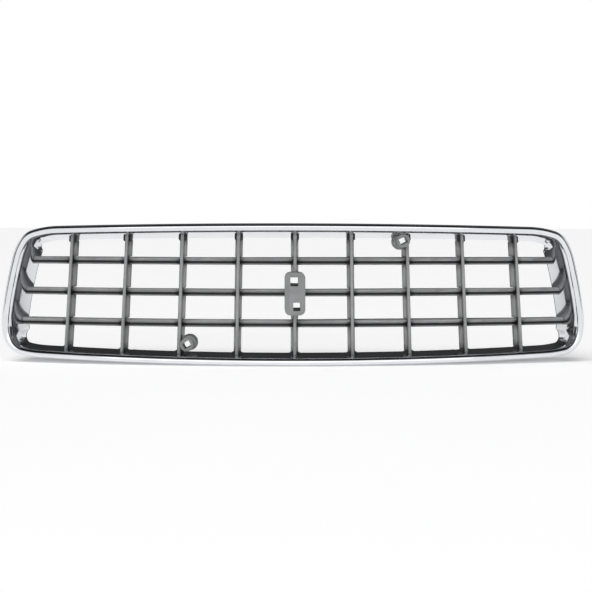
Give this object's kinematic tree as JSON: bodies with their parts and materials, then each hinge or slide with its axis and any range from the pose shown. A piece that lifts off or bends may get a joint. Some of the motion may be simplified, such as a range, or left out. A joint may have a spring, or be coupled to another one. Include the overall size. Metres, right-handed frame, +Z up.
{
  "type": "front grille",
  "caption": "Wide bowed car grille: a chrome surround around a grid of upright fins and horizontal bars, with an emblem seat, strip sockets, mounting tabs and pegs.",
  "frame": {"origin": "middle of the emblem seat's front face", "axes": "+X to the grille's right as seen from the front, +Y back into the car, +Z up; the front looks along -Y"},
  "size_m": [0.6988, 0.0914, 0.1654],
  "materials": {
    "chrome": "polished",
    "grid_grey": "satin",
    "seat_grey": "fine grain",
    "rim_black": "matte",
    "bracket_black": "satin",
    "screw_steel": "zinc plated",
    "rubber": "matte",
    "foam": "open cell"
  },
  "bodies": {
    "root": {"chrome_surround": "chrome", "insert_rim": "rim_black", "horizontal_bar_upper": "grid_grey", "horizontal_bar_middle": "grid_grey", "horizontal_bar_lower": "grid_grey", "vertical_fin_1": "grid_grey", "vertical_fin_2": "grid_grey", "vertical_fin_3": "grid_grey", "vertical_fin_4": "grid_grey", "vertical_fin_5_upper": "grid_grey", "vertical_fin_5_lower": "grid_grey", "vertical_fin_6": "grid_grey", "vertical_fin_7": "grid_grey", "vertical_fin_8": "grid_grey", "vertical_fin_9": "grid_grey", "emblem_seat": "seat_grey", "strip_boss_upper": "seat_grey", "strip_boss_lower": "seat_grey", "mount_tab_left": "bracket_black", "mount_tab_centre": "bracket_black", "mount_tab_right": "bracket_black", "locating_peg_left": "bracket_black", "locating_peg_right": "bracket_black", "peg_grommets": "rubber", "rim_screws": "screw_steel", "bracket_screws": "screw_steel", "foam_seal": "foam"}
  },
  "joints": []
}
